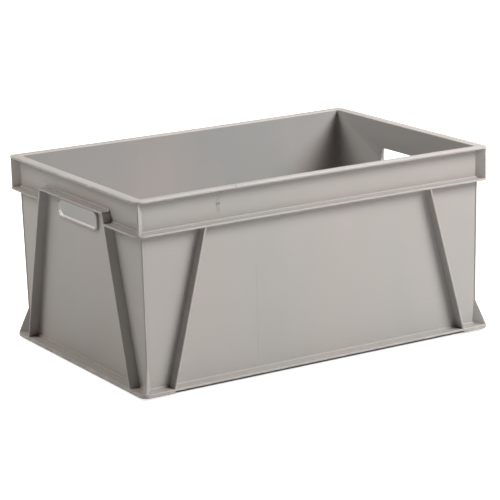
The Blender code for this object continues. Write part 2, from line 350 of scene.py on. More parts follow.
def mirrored_copy(piece, name, sign_x, sign_y):
    """A copy with its own mesh, mirrored to another side, faces outwards."""
    take_up(piece)
    bpy.ops.object.duplicate()
    copy = bpy.context.active_object
    copy.name = name
    copy.data.name = name
    bpy.ops.object.mode_set(mode="EDIT")
    bpy.ops.mesh.select_all(action="SELECT")
    bpy.ops.transform.resize(value=(sign_x, sign_y, 1), center_override=(0, 0, 0))
    return end_piece(copy)


def turn_about_z(angle):
    """While editing, turn what is selected about the origin."""
    mesh = bpy.context.active_object.data
    work = bmesh.from_edit_mesh(mesh)
    chosen = [v for v in work.verts if v.select]
    turn = Matrix.Rotation(angle, 3, "Z")
    bmesh.ops.rotate(work, verts=chosen, cent=(0, 0, 0), matrix=turn)
    bmesh.update_edit_mesh(mesh)


def cut_evenly(piece, axis, low, high, cuts):
    """Cut a piece at even steps between two places on an axis, so that it can bow smoothly."""
    if bpy.context.mode != "EDIT_MESH":
        take_up(piece)
        bpy.ops.object.mode_set(mode="EDIT")
    normal = Vector((0, 0, 0))
    normal[axis] = 1
    for number in range(1, cuts):
        at = normal * (low + (high - low) * number / cuts)
        bpy.ops.mesh.select_all(action="SELECT")
        bpy.ops.mesh.bisect(plane_co=at, plane_no=normal)


def place(piece, *nodes):
    """The piece rides on the crate's one body and stands for its CAD nodes."""
    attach(piece, "root")
    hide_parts(*nodes)


# ---------------- rings round the crate


def add_ring(ring, steps):
    """While editing, add a rounded rectangle lying flat, and leave it selected. A ring is
    (half length, half width, corner radius, height)."""
    half_x, half_y, radius, z = ring
    bpy.ops.mesh.select_all(action="DESELECT")
    bpy.ops.mesh.primitive_plane_add(size=2, location=(0, 0, z))
    bpy.ops.transform.resize(value=(half_x, half_y, 1), center_override=(0, 0, z))
    bpy.ops.mesh.bevel(
        offset=radius, offset_type="OFFSET", segments=steps, affect="VERTICES", profile=0.5
    )


def reshape_ring(last, ring):
    """While editing, move the selected ring from one outline to another, corner by corner."""
    mesh = bpy.context.active_object.data
    work = bmesh.from_edit_mesh(mesh)
    for vertex in work.verts:
        if vertex.select:
            x, y, _ = vertex.co
            turn_x = (abs(x) - last[0] + last[2]) / last[2]
            turn_y = (abs(y) - last[1] + last[2]) / last[2]
            vertex.co.x = math.copysign(ring[0] - ring[2] + ring[2] * turn_x, x)
            vertex.co.y = math.copysign(ring[1] - ring[2] + ring[2] * turn_y, y)
            vertex.co.z = ring[3]
    bmesh.update_edit_mesh(mesh)


def loft(rings, steps, closed):
    """While editing, extrude a rounded rectangle from ring to ring. It either runs on round to
    its start, or both ends are capped."""
    add_ring(rings[0], steps)
    if not closed:
        bpy.ops.mesh.duplicate()
    bpy.ops.mesh.delete(type="ONLY_FACE")
    pick("VERT", lambda v: not v.link_faces)
    path = [*rings, rings[0]] if closed else rings
    for last, ring in zip(path, path[1:]):
        bpy.ops.mesh.extrude_region_move()
        reshape_ring(last, ring)
    if not closed:
        bpy.ops.mesh.edge_face_add()


def rounded_path(corners, steps, closed):
    """Points of a path through corners (outward distance, height, rounding)."""
    points = []
    count = len(corners)
    for number, (out, z, rounding) in enumerate(corners):
        at = Vector((out, z))
        if rounding == 0 or (not closed and number in (0, count - 1)):
            points.append(at)
            continue
        before = Vector(corners[number - 1][:2])
        after = Vector(corners[(number + 1) % count][:2])
        start = at + (before - at).normalized() * rounding
        finish = at + (after - at).normalized() * rounding
        for step in range(steps + 1):
            u = step / steps
            points.append(start * (1 - u) ** 2 + at * 2 * u * (1 - u) + finish * u**2)
    return points


def height_share(z):
    """How far up the walls a height is, from 0 at the base flange to 1 at the lip's top."""
    return max(0.0, (z - BASE_TOP) / (LIP_TOP - BASE_TOP))


def lean_out(z, sizes):
    """How far the mould's draft carries the walls out at a height."""
    return sizes.draft * height_share(z)


def bow_in(x, z, sizes):
    """How far a long side draws in, most at the middle of the rim and not at all at the base."""
    return sizes.bow * max(0.0, 1 - (x / HALF_LENGTH) ** 2) * height_share(z)


def draw_in(piece, sizes):
    """Bow the long sides in."""
    for vertex in piece.data.vertices:
        x, y, z = vertex.co
        if abs(y) > BOWED_FROM:
            vertex.co.y = y - math.copysign(bow_in(x, z, sizes), y)


def section_rings(points, sizes):
    """Rings round the crate for a path of (distance out from the walls' outer face, height).
    What lies on the walls leans out with them, and the flanges' outer edges stay upright."""
    rings = []
    for out, z in points:
        if out < 0:
            radius = max(2 * MM, sizes.wall_radius + out)
        else:
            radius = sizes.wall_radius + (sizes.outer_radius - sizes.wall_radius) * out / REACH
        if out < REACH / 2:
            out += lean_out(z, sizes)
        rings.append((WALL_X + out, WALL_Y + out, radius, z))
    return rings


def bead_corners(flange_top, sizes):
    """The bead along the wall on a flange, for rounded_path: rounded above, upright in front."""
    top = flange_top + sizes.bead_height
    return [
        (0, top, sizes.underside_rounding / 2),
        (sizes.bead_width, top, sizes.bead_width * BEAD_ROUNDING),
        (sizes.bead_width, flange_top, sizes.underside_rounding / 2),
    ]


def wall_corner(z, sizes):
    """How far the walls' outer corner is from the corner's centre, along the diagonal."""
    return (POST_RADIUS + lean_out(z, sizes) - sizes.wall_radius) * math.sqrt(2) + sizes.wall_radius


def flange_corner(sizes):
    """How far webs and gussets reach from the corner's centre, along the diagonal."""
    square = REACH + POST_RADIUS - sizes.outer_radius
    return square * math.sqrt(2) + sizes.outer_radius - WEB_INSET


# ---------------- materials


def add_node(tree, kind, settings=None, links=None, output=0):
    """Add a node, set its properties and sockets, link other nodes' outputs to its sockets, and
    give back one of its own outputs."""
    node = tree.nodes.new("ShaderNode" + kind)
    for name, value in (settings or {}).items():
        if isinstance(name, str) and hasattr(node, name):
            setattr(node, name, value)
        else:
            node.inputs[name].default_value = value
    for name, source in (links or {}).items():
        tree.links.new(source, node.inputs[name])
    return node.outputs[output] if node.outputs else None


def moulded_polypropylene(name, plastic, scuffs_and_highlights, flow_turn, roughness):
    """Injection-moulded polypropylene: a satin skin with soft sheen, faint flow patches left where
    the melt ran, a very fine grain from the mould, and pale rubbed marks where crates slide, which
    along the outermost edges are also a painted highlight; its lowest 4 mm are darkened with
    painted shade."""
    if name in bpy.data.materials:
        return bpy.data.materials[name]
    finish = bpy.context.scene.crate_finish
    material = bpy.data.materials.new(name)
    material.use_nodes = True
    tree = material.node_tree
    shader = tree.nodes["Principled BSDF"]
    place_on = add_node(tree, "TexCoord", output="Object")
    x, y, z = add_node(tree, "SeparateXYZ", links={"Vector": place_on}).node.outputs

    # Flow patches 150 mm or more across, drawn out along the way the melt ran
    flow_map = add_node(
        tree, "Mapping",
        {"Rotation": (0, flow_turn, 0), "Scale": (1, 1, 0.45)},
        {"Vector": place_on},
    )
    flow = add_node(
        tree, "TexNoise", {"Scale": 5.5, "Detail": 3, "Roughness": 0.45}, {"Vector": flow_map}
    )
    warm, cool = (
        add_node(tree, "MapRange", {"From Min": start, "From Max": full}, {"Value": flow})
        for start, full in ((0.48, 0.7), (0.5, 0.32))
    )

    # Dust specks about 1 mm across, few and faint
    specks = add_node(tree, "TexVoronoi", {"Scale": 90, "Randomness": 1.0}, {"Vector": place_on})
    speck = add_node(
        tree, "MapRange", {"From Min": 0.07, "From Max": 0.03, "To Max": 0.35}, {"Value": specks}
    )

    # Weld line: a faint seam up the front wall, 1.5 mm wide, where two fronts of the melt met.
    # It starts at the first value of each row and is whole at the second.
    beside = add_node(tree, "Math", {"operation": "SUBTRACT", 1: WELD_X}, {0: x})
    beside = add_node(tree, "Math", {"operation": "ABSOLUTE"}, {0: beside})
    seam = None
    for source, start, full in (
        (beside, 1.0 * MM, 0.4 * MM),
        (y, -170 * MM, -172 * MM),
        (z, WELD_LOW, WELD_LOW + 10 * MM),
        (z, WELD_HIGH, WELD_HIGH - 12 * MM),
    ):
        share = add_node(tree, "MapRange", {"From Min": start, "From Max": full}, {"Value": source})
        if seam is not None:
            share = add_node(tree, "Math", {"operation": "MULTIPLY"}, {0: seam, 1: share})
        seam = share
    seam = add_node(tree, "Math", {"operation": "MULTIPLY", 1: WELD_SHARE}, {0: seam})

    # Painted shade: the stacking foot darkens in its lowest 4 mm, standing in for the shadow under
    # the base flange
    dirt = add_node(
        tree, "MapRange", {"From Min": 5 * MM, "From Max": 3 * MM, "To Max": 0.85}, {"Value": z}
    )

    # Rubbed edges: the outermost 2 mm of lip and flanges, broken up by noise; partly real wear and
    # partly a painted highlight along the outer edges
    edge = None
    for across, half in ((x, HALF_LENGTH), (y, HALF_WIDTH)):
        out = add_node(tree, "Math", {"operation": "ABSOLUTE"}, {0: across})
        share = add_node(
            tree, "MapRange", {"From Min": half - 2 * MM, "From Max": half}, {"Value": out}
        )
        if edge is not None:
            share = add_node(tree, "Math", {"operation": "MAXIMUM"}, {0: edge, 1: share})
        edge = share
    rub_noise = add_node(
        tree, "TexNoise", {"Scale": 45, "Detail": 5, "Roughness": 0.65}, {"Vector": place_on}
    )
    rub_and_highlight = add_node(
        tree, "MapRange",
        {"From Min": 0.45, "From Max": 0.68, "To Max": scuffs_and_highlights},
        {"Value": rub_noise},
    )
    # Painted highlight: this pale band along the outermost edges stands in for their edge highlight
    # as well as wear
    rubbed = add_node(tree, "Math", {"operation": "MULTIPLY"}, {0: edge, 1: rub_and_highlight})

    # Hairline scratches: noise stretched fifty times along the wall
    scratch_map = add_node(
        tree, "Mapping", {"Rotation": (0.3, 0.5, 0.2), "Scale": (6, 6, 320)}, {"Vector": place_on}
    )
    scratch_noise = add_node(tree, "TexNoise", {"Scale": 1.0, "Detail": 2}, {"Vector": scratch_map})
    scratch = add_node(
        tree, "MapRange",
        {"From Min": 0.7, "From Max": 0.78, "To Max": scuffs_and_highlights * SCRATCH_SHARE},
        {"Value": scratch_noise},
    )
    wear_and_highlight = add_node(tree, "Math", {"operation": "MAXIMUM"}, {0: rubbed, 1: scratch})

    # Each colour lies over those before it, where its own pattern is
    base = add_node(tree, "RGB")
    base.default_value = (*plastic, 1)
    for share, colour in (
        (warm, finish.plastic_warm),
        (cool, finish.plastic_cool),
        (speck, finish.grime),
        (seam, finish.grime),
        # Painted shade on the foot
        (dirt, finish.foot_painted_shade),
        # Pale scuffing, and painted highlight along the outer edges
        (wear_and_highlight, finish.scuff_and_edge_highlight),
    ):
        base = add_node(
            tree, "Mix",
            {"data_type": "RGBA", MIX_SECOND: (*colour, 1)},
            {MIX_SHARE: share, MIX_FIRST: base},
            output=MIX_RESULT,
        )
    tree.links.new(base, shader.inputs["Base Color"])

    # The satin skin is glossier where the melt met the mould hottest, and duller where worn
    glossy, dull = roughness - GLOSS_SPREAD, roughness + GLOSS_SPREAD
    gloss = add_node(
        tree, "MapRange",
        {"From Min": 0.3, "From Max": 0.7, "To Min": glossy, "To Max": dull},
        {"Value": flow},
    )
    rough = add_node(
        tree, "Math", {"operation": "MULTIPLY_ADD", 1: WORN_ROUGHNESS}, {0: wear_and_highlight, 2: gloss}
    )
    tree.links.new(rough, shader.inputs["Roughness"])

    # Mould grain is about 0.1 mm; it is drawn 1 mm coarse so that it shows. The slow waves, 100 mm
    # across, are where the large walls have sunk in a little.
    relief = None
    for scale, detail, strength, depth in ((1000, 2, 0.12, 0.05 * MM), (9, 1, 0.5, 1.2 * MM)):
        height = add_node(
            tree, "TexNoise", {"Scale": scale, "Detail": detail}, {"Vector": place_on}
        )
        links = {"Height": height}
        if relief is not None:
            links["Normal"] = relief
        relief = add_node(tree, "Bump", {"Strength": strength, "Distance": depth}, links)
    tree.links.new(relief, shader.inputs["Normal"])
    shader.inputs["IOR"].default_value = 1.49
    shader.inputs["Metallic"].default_value = 0.0
    return material


def outside_plastic():
    """Outer walls, flanges and ribs: satin, handled, with faint scuffing, and a painted highlight
    along the outer edges.
    """
    finish = bpy.context.scene.crate_finish
    return moulded_polypropylene(
        "moulded_polypropylene_outside",
        finish.plastic, scuffs_and_highlights=0.55, flow_turn=0.35, roughness=finish.roughness,
    )


def shaded_inside_plastic():
    """Inner walls and floor: polished mould core, so slightly smoother and less rubbed. Its cooler,
    darker grey is painted shade for the inside.
    """
    finish = bpy.context.scene.crate_finish
    return moulded_polypropylene(
        "moulded_polypropylene_inside_shaded",
        finish.plastic_inside_shaded, scuffs_and_highlights=0.25, flow_turn=1.4, roughness=finish.roughness - 0.04,
    )


def worn_highlit_plastic():
    """Lip and foot, where stacked crates chafe: paler, rougher patches; the pale ones along the
    lip's outer edge are also a painted highlight.
    """
    finish = bpy.context.scene.crate_finish
    return moulded_polypropylene(
        "moulded_polypropylene_worn_highlit",
        finish.plastic, scuffs_and_highlights=0.8, flow_turn=0.35, roughness=finish.roughness + 0.05,
    )


def give_material(piece, material):
    """One finish all over a piece."""
    piece.data.materials.clear()
    piece.data.materials.append(material)


# ---------------- pieces


class CRATE_OT_shell(bpy.types.Operator):
    """Floor, walls, lip, base flange, skirts, stacking foot and hand holes, one moulding"""

    bl_idname = "crate.shell"
    bl_label = "Crate Shell"

    def section(self, sizes):
        """The moulding cut through a wall, from the floor inside to the floor below."""
        lip, flange, under = sizes.lip_rounding, sizes.flange_rounding, sizes.underside_rounding
        foot_out, foot_in = -WALL, FOOT_INSIDE - WALL_X
        corners = [
            (-WALL - 2 * sizes.floor_fillet, BASE_TOP, 0),
            (-WALL, BASE_TOP, sizes.floor_fillet),
            (-WALL, LIP_TOP, lip),
            (REACH, LIP_TOP, lip),
            (REACH, LIP_BOTTOM, under),
            (0, LIP_BOTTOM, under),
            *bead_corners(BASE_TOP, sizes),
            (REACH, BASE_TOP, flange),
            (REACH, SKIRT_BOTTOM, under),
            (REACH - SKIRT, SKIRT_BOTTOM, under),
            (REACH - SKIRT, BASE_BOTTOM, under),
            (foot_out, BASE_BOTTOM, under),
            (foot_out, 0, flange),
            (foot_in, 0, flange),
            (foot_in, BASE_BOTTOM, under),
            (foot_in - 2 * sizes.floor_fillet, BASE_BOTTOM, 0),
        ]
        return rounded_path(corners, sizes.rounding_steps, closed=False)

    def hole_bar(self, name, near, far, grow, sizes):
        """A rounded bar along X as wide as a hand hole, or wider all round by grow."""
        near, far = sorted((near, far))
        half = sizes.hole_length / 2 + grow
        low_z = FRAME_LOW.z + sizes.hole_rim - grow
        high_z = FRAME_HIGH.z - sizes.hole_rim + grow
        bar = start_piece(name)
        add_bar((near, -half, low_z), (far, half, high_z))
        pick("EDGE", lambda e: abs(e.verts[0].co.x - e.verts[1].co.x) > NEAR)
        bpy.ops.mesh.bevel(
            offset=sizes.hole_radius + grow, segments=HOLE_STEPS, affect="EDGES", profile=0.5
        )
        return end_piece(bar)

    def cut_hand_holes(self, shell, sizes):
        """The frames stand on the end walls, then the holes go through wall and frame together."""
        foot = WALL_X + lean_out(FRAME_LOW.z, sizes) - BITE
        for side, sign in SIDES.items():
            rim = self.hole_bar(
                f"frame_{side}", sign * foot, -sign * FRAME_LOW.x, sizes.hole_rim, sizes
            )
            apply_boolean(shell, rim, "UNION")
            hole = self.hole_bar(
                f"hole_{side}", sign * (WALL_X - HOLE_CUT), sign * (WALL_X + HOLE_CUT), 0, sizes
            )
            apply_boolean(shell, hole, "DIFFERENCE")

    def cut_skirt_gaps(self, shell, sizes):
        """Between the long ribs' feet the base flange has no skirt."""
        for face, sign in FACES.items():
            edges = sorted((sign * (HALF_WIDTH - SKIRT - CLEAR), sign * (HALF_WIDTH + CLEAR)))
            start = -SKIRT_RUN + (sizes.near_rib_shift if face == "front" else 0)
            gap = start_piece(f"skirt_gap_{face}")
            add_bar((start, edges[0], SKIRT_BOTTOM - CLEAR), (SKIRT_RUN, edges[1], BASE_BOTTOM))
            apply_boolean(shell, end_piece(gap), "DIFFERENCE")

    def cut_nick(self, shell):
        """A small nick in the lip's front edge."""
        nick = start_piece("nick")
        add_bar(
            (NICK_X - NICK_WIDTH / 2, -HALF_WIDTH - CLEAR, LIP_TOP - NICK_DEPTH),
            (NICK_X + NICK_WIDTH / 2, -HALF_WIDTH + NICK_RUN, LIP_TOP + CLEAR),
        )
        apply_boolean(shell, end_piece(nick), "DIFFERENCE")

    def on_hole_face(self, at, inner, sizes):
        """Whether a point near a hand hole is on the wall's inner or the frame's outer face."""
        if abs(at.y) > sizes.hole_length / 2 + HOLE_AROUND:
            return False
        if not FRAME_LOW.z - CLEAR < at.z < FRAME_HIGH.z + CLEAR:
            return False
        plane = WALL_X + lean_out(at.z, sizes) - WALL if inner else -FRAME_LOW.x
        return abs(abs(at.x) - plane) < NEAR

    def give_finishes(self, shell):
        """Worn plastic, whose pale outer edges are partly painted highlight, on the lip's top and
        the foot, and within, the inside's finish, whose cooler, darker grey is painted shade.
        """
        for material in (outside_plastic(), shaded_inside_plastic(), worn_highlit_plastic()):
            shell.data.materials.append(material)
        inside, wear_and_highlight = 1, 2
        for face in shell.data.polygons:
            x, y, z = face.center
            normal = face.normal
            facing_in = normal.x * x / WALL_X + normal.y * y / WALL_Y < -FACES_IN
            over_floor = abs(x) < WALL_X - WALL and abs(y) < WALL_Y - WALL and normal.z > 0
            if z > LIP_BOTTOM and normal.z > FACES_UP or z < BASE_BOTTOM + CLEAR:
                face.material_index = wear_and_highlight
            elif z > BASE_TOP - BITE and (facing_in or over_floor) and abs(x) < WALL_X + CLEAR:
                face.material_index = inside

    def execute(self, context):
        sizes = context.scene.crate_sizes
        shell = start_piece("crate_shell")
        loft(section_rings(self.section(sizes), sizes), sizes.corner_steps, closed=False)
        end_piece(shell)
        self.cut_hand_holes(shell, sizes)
        self.cut_skirt_gaps(shell, sizes)
        self.cut_nick(shell)

        # Soften the hand holes' edges
        bpy.ops.object.mode_set(mode="EDIT")
        for inner in (False, True):
            pick("EDGE", lambda e: all(self.on_hole_face(v.co, inner, sizes) for v in e.verts))
            bpy.ops.mesh.bevel(offset=HOLE_EDGE, segments=2, affect="EDGES", clamp_overlap=True)
        cut_evenly(shell, 0, -HALF_LENGTH, HALF_LENGTH, BOW_CUTS)
        end_piece(shell)
        draw_in(shell, sizes)
        self.give_finishes(shell)

        nodes = ["floor_panel", "front_wall", "back_wall", "left_wall", "right_wall"]
        nodes += [f"corner_post_{corner}" for corner in CORNERS]
        nodes += [f"base_skirt_{corner}" for corner in CORNERS]
        for side in (*SIDES, *FACES):
            nodes += [f"lip_{side}", f"base_flange_{side}", f"stacking_foot_{side}"]
        for side in SIDES:
            nodes += [f"hand_hole_frame_{side}", f"base_skirt_{side}"]
        place(shell, *nodes)
        return {"FINISHED"}


class CRATE_OT_rim_flange(bpy.types.Operator):
    """Flange round the walls below the lip, open at each end where the grip ledge steps up"""

    bl_idname = "crate.rim_flange"
    bl_label = "Rim Flange"

    def execute(self, context):
        sizes = context.scene.crate_sizes
        bead_top = RIM_TOP + sizes.bead_height
        corners = [
            (-BITE, RIM_BOTTOM, 0),
            (-BITE, bead_top, 0),
            *bead_corners(RIM_TOP, sizes),
            (REACH, RIM_TOP, sizes.flange_rounding),
            (REACH, RIM_BOTTOM, sizes.underside_rounding),
        ]
        flange = start_piece("rim_flange_ring")
        points = rounded_path(corners, sizes.rounding_steps, closed=True)
        loft(section_rings(points, sizes), sizes.corner_steps, closed=True)
        end_piece(flange)
        opening = -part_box("rim_flange_left_front")[1].y
        for side, sign in SIDES.items():
            near, far = sorted((sign * (WALL_X - BITE - CLEAR), sign * (HALF_LENGTH + CLEAR)))
            gap = start_piece(f"ledge_gap_{side}")
            add_bar((near, -opening, RIM_BOTTOM - CLEAR), (far, opening, bead_top + CLEAR))
            apply_boolean(flange, end_piece(gap), "DIFFERENCE")
        cut_evenly(flange, 0, -HALF_LENGTH, HALF_LENGTH, BOW_CUTS)
        end_piece(flange)
        draw_in(flange, sizes)
        give_material(flange, outside_plastic())
        nodes = [f"rim_flange_{face}" for face in FACES]
        nodes += [f"rim_flange_{side}_{face}" for side in SIDES for face in FACES]
        place(flange, *nodes)
        return {"FINISHED"}


class CRATE_OT_grip_ledges(bpy.types.Operator):
    """Raised ledge over each hand hole, with a bead along the wall"""

    bl_idname = "crate.grip_ledges"
    bl_label = "Grip Ledges"

    def execute(self, context):
        sizes = context.scene.crate_sizes
        half, low, top = LEDGE_HIGH.y, LEDGE_LOW.z, LEDGE_HIGH.z
        wall = WALL_X + lean_out(low, sizes)
        bead_edge, bead_top = wall + sizes.bead_width, top + sizes.bead_height
        steps = sizes.rounding_steps
        ledge = start_piece("grip_ledge_right")
        add_bar((wall - BITE, -half, low), (HALF_LENGTH, half, top))
        pick("EDGE", lambda e: middle(e).x > HALF_LENGTH - NEAR and middle(e).z > top - NEAR)
        bpy.ops.mesh.bevel(offset=sizes.flange_rounding, segments=steps, affect="EDGES")
        pick("EDGE", lambda e: middle(e).x > HALF_LENGTH - NEAR and middle(e).z < low + NEAR)
        bpy.ops.mesh.bevel(offset=sizes.underside_rounding, segments=steps, affect="EDGES")
        add_bar((wall - BITE, -half, top - BITE), (bead_edge, half, bead_top))
        pick("EDGE", lambda e: middle(e).x > bead_edge - NEAR and middle(e).z > bead_top - NEAR)
        bpy.ops.mesh.bevel(offset=sizes.bead_width * BEAD_ROUNDING, segments=steps, affect="EDGES")
        end_piece(ledge)
        give_material(ledge, outside_plastic())
        other = mirrored_copy(ledge, "grip_ledge_left", -1, 1)
        place(ledge, "grip_shelf_right")
        place(other, "grip_shelf_left")
        return {"FINISHED"}


def corner_pieces(first, kind):
    """The piece modelled at the first corner and its mirrored copies at the others, by corner."""
    pieces = {}
    for corner, (sign_x, sign_y) in CORNERS.items():
        if corner == FIRST_CORNER:
            pieces[corner] = first
        else:
            pieces[corner] = mirrored_copy(first, f"{kind}_{corner}", sign_x, sign_y)
    return pieces


def lean_plate(name, run_axis, foot, head, wall, edge, sizes):
    """A leaning rib. It runs along X on a long wall and along Y on an end; foot and head are
    (distance from the middle, height), and it stands from the wall face out to its edge."""
    half = sizes.rib_thickness / 2
    out_axis = 1 - run_axis
    centre_z = (foot[1] + head[1]) / 2
    centre_out = (wall + edge) / 2

    def at(run, out, z):
        return (run, out, z) if run_axis == 0 else (out, run, z)

    rib = start_piece(name)
    add_bar(at(-half, wall, foot[1]), at(half, edge, head[1]))

    # Draft: thicker where it joins the wall
    pick("VERT", lambda v: v.co[out_axis] < centre_out)
    centre = at(0, wall, centre_z)
    bpy.ops.transform.resize(value=at(sizes.rib_draft, 1, 1), center_override=centre)

    # Rounded outer edge
    pick("EDGE", lambda e: middle(e)[out_axis] > edge - NEAR and rise(e) > centre_z - foot[1])
    bpy.ops.mesh.bevel(offset=RIB_EDGE, segments=sizes.rounding_steps, affect="EDGES")

    # Lean: the foot and the head move sideways, and the head follows the wall's draft
    pick("VERT", lambda v: v.co.z < centre_z)
    bpy.ops.transform.translate(value=at(foot[0], 0, 0))
    pick("VERT", lambda v: v.co.z > centre_z)
    bpy.ops.transform.translate(value=at(head[0], 0, 0))
    pick("VERT", lambda v: v.co.z > centre_z and v.co[out_axis] < centre_out)
    bpy.ops.transform.translate(value=at(0, lean_out(head[1], sizes), 0))
    return end_piece(rib)


class CRATE_OT_ribs(bpy.types.Operator):
    """Two leaning ribs on each side, rounded along their outer edges"""

    bl_idname = "crate.ribs"
    bl_label = "Leaning Ribs"

    def make_rib(self, kind, node, run_axis, wall, edge, top, sizes):
        """The first of the long walls' ribs, or of the ends'."""
        half = sizes.rib_thickness / 2 + RIB_SHORT
        low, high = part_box(f"{node}_{FIRST_CORNER}")
        foot = (high[run_axis] - half, BASE_TOP - BITE)
        head = (low[run_axis] + half, top + BITE)
        name = f"{kind}_{FIRST_CORNER}"
        rib = lean_plate(name, run_axis, foot, head, wall - 2 * BITE, edge - RIB_INSET, sizes)
        give_material(rib, outside_plastic())
        return rib

    def execute(self, context):
        sizes = context.scene.crate_sizes
        long_rib = self.make_rib(
            "long_rib", "long_side_rib", 0, WALL_Y, HALF_WIDTH, RIM_BOTTOM, sizes
        )
        end_rib = self.make_rib("end_brace", "end_rib", 1, WALL_X, HALF_LENGTH, LEDGE_LOW.z, sizes)
        for corner, rib in corner_pieces(long_rib, "long_rib").items():
            take_up(rib)
            bpy.ops.object.mode_set(mode="EDIT")
            if corner == "front_left":
                bpy.ops.mesh.select_all(action="SELECT")
                bpy.ops.transform.translate(value=(sizes.near_rib_shift, 0, 0))
            cut_evenly(rib, 2, BASE_TOP, RIM_BOTTOM, BOW_LEVELS)
            end_piece(rib)
            draw_in(rib, sizes)
            place(rib, f"long_side_rib_{corner}")
        for corner, rib in corner_pieces(end_rib, "end_brace").items():
            place(rib, f"end_rib_{corner}")
        return {"FINISHED"}


def end_corner_piece(piece):
    """Turn a piece modelled along X onto the first corner's diagonal, and stop editing it."""
    bpy.ops.mesh.select_all(action="SELECT")
    turn_about_z(math.pi / 4)
    bpy.ops.transform.translate(value=(WALL_X - POST_RADIUS, WALL_Y - POST_RADIUS, 0))
    end_piece(piece)
    give_material(piece, outside_plastic())


class CRATE_OT_corner_webs(bpy.types.Operator):
    """Diagonal web across each corner between lip and rim flange"""

    bl_idname = "crate.corner_webs"
    bl_label = "Corner Webs"

    def execute(self, context):
        sizes = context.scene.crate_sizes
        reach = flange_corner(sizes)
        wall = wall_corner(RIM_TOP, sizes) - CORNER_BITE
        web = start_piece(f"lip_web_{FIRST_CORNER}")
        add_bar((wall, -WEB_HALF, RIM_TOP - BITE), (reach, WEB_HALF, LIP_BOTTOM + BITE))
        pick("EDGE", lambda e: middle(e).x > reach - NEAR and rise(e) > NEAR)
        bpy.ops.mesh.bevel(offset=WEB_EDGE, segments=sizes.rounding_steps, affect="EDGES")
        end_corner_piece(web)
        for corner, piece in corner_pieces(web, "lip_web").items():
            place(piece, f"rim_corner_web_{corner}")
        return {"FINISHED"}


class CRATE_OT_corner_fins(bpy.types.Operator):
    """Slim fin up each corner below the rim flange, widening to a gusset at the base"""

    bl_idname = "crate.corner_fins"
    bl_label = "Corner Fins"

    def execute(self, context):
        sizes = context.scene.crate_sizes
        proud = sizes.fin_depth
        gusset_top = BASE_TOP + sizes.gusset_height
        wall = wall_corner(BASE_TOP, sizes)
        fin = start_piece(f"corner_gusset_{FIRST_CORNER}")
        add_bar(
            (wall - CORNER_BITE, -WEB_HALF, BASE_TOP - BITE),
            (wall + proud, WEB_HALF, RIM_BOTTOM + BITE),
        )
        bpy.ops.mesh.select_all(action="SELECT")
        bpy.ops.mesh.bisect(plane_co=(0, 0, gusset_top), plane_no=(0, 0, 1))

        # The fin leans out with the walls
        pick("VERT", lambda v: v.co.z > RIM_BOTTOM)
        bpy.ops.transform.translate(value=(wall_corner(RIM_BOTTOM, sizes) - wall, 0, 0))
        pick("VERT", lambda v: BASE_TOP < v.co.z < RIM_BOTTOM)
        bpy.ops.transform.translate(value=(wall_corner(gusset_top, sizes) - wall, 0, 0))

        # The gusset's foot reaches out to the flange's corner, and is thicker
        pick("VERT", lambda v: v.co.x > wall and v.co.z < BASE_TOP)
        bpy.ops.transform.translate(value=(flange_corner(sizes) - wall - proud, 0, 0))
        pick("VERT", lambda v: v.co.z < BASE_TOP)
        bpy.ops.transform.resize(value=(1, sizes.gusset_flare, 1), center_override=(0, 0, BASE_TOP))

        # Rounded outer edges
        def stands_proud(vertex):
            return vertex.co.x > wall_corner(vertex.co.z, sizes) + proud / 2

        pick("EDGE", lambda e: rise(e) > NEAR and all(stands_proud(v) for v in e.verts))
        bpy.ops.mesh.bevel(offset=FIN_EDGE, segments=sizes.rounding_steps, affect="EDGES")
        end_corner_piece(fin)
        for corner, piece in corner_pieces(fin, "corner_gusset").items():
            place(piece, f"corner_fin_{corner}")
        return {"FINISHED"}


class CRATE_OT_moulding_mark(bpy.types.Operator):
    """Small plain ring mark with ejector lines on the front, under the lip"""

    bl_idname = "crate.moulding_mark"
    bl_label = "Moulding Mark"

    def execute(self, context):
        sizes = context.scene.crate_sizes
        centre = (MARK_LOW + MARK_HIGH) / 2
        centre.y = bow_in(centre.x, centre.z, sizes) - lean_out(centre.z, sizes) - WALL_Y
        mark = start_piece("ring_mark")
        bpy.ops.mesh.primitive_torus_add(
            major_radius=(MARK_HIGH.x - MARK_LOW.x) / 2 * RING_SHARE, minor_radius=RING_HALF,
            major_segments=32, minor_segments=10, location=centre, rotation=(math.pi / 2, 0, 0),
        )
        bpy.ops.mesh.primitive_uv_sphere_add(
            radius=DOT_RADIUS, segments=16, ring_count=8, location=centre
        )
        half = Vector(LINE_SIZE) / 2
        for beside in (-LINE_BESIDE, LINE_BESIDE):
            for above in LINES_ABOVE:
                at = centre + Vector((beside, 0, above))
                add_bar(at - half, at + half)
        end_piece(mark)
        give_material(mark, outside_plastic())
        place(mark, "moulding_mark")
        return {"FINISHED"}


# ---------------- stage


def add_softbox(name, location, power, colour):
    """A large square soft light facing the crate."""
    bpy.ops.object.select_all(action="DESELECT")
    bpy.ops.object.light_add(type="AREA", location=location)
    box = bpy.context.active_object
    box.name = name
    box.data.shape = "RECTANGLE"
    box.data.size = SOFTBOX_SIDE
    box.data.size_y = SOFTBOX_SIDE
    box.data.energy = power
    box.data.color = colour
    ahead = Vector(LIGHTS_AIM) - Vector(location)
    box.rotation_euler = ahead.to_track_quat("-Z", "Y").to_euler()
    box.visible_camera = False


